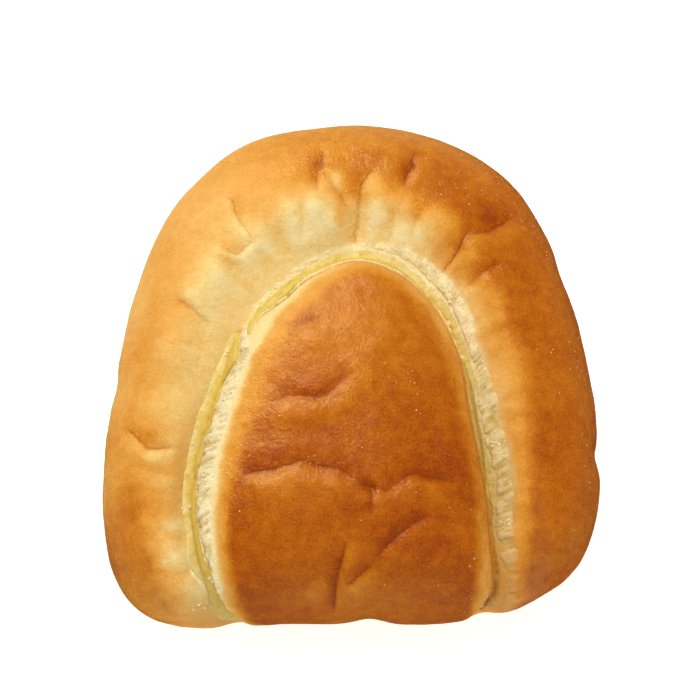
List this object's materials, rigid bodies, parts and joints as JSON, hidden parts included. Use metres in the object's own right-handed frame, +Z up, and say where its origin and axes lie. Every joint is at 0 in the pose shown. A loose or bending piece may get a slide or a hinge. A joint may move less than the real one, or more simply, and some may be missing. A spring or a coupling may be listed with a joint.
{
  "type": "custard bun",
  "caption": "Folded sweet dough bun with a smooth arched flap on a thick horseshoe rim, and a custard layer whose edge shows as a ribbon along the seam between them.",
  "frame": {"origin": "middle of the flat underside", "axes": "+Z up, +Y from the folded front towards the closed end of the arch, +X to the right seen from the front"},
  "size_m": [0.1084, 0.1168, 0.039],
  "materials": {
    "baked_crust": "soft satin baked crust",
    "custard": "smooth moist custard"
  },
  "bodies": {
    "root": {"bun": "baked_crust", "custard": "custard"}
  },
  "joints": []
}
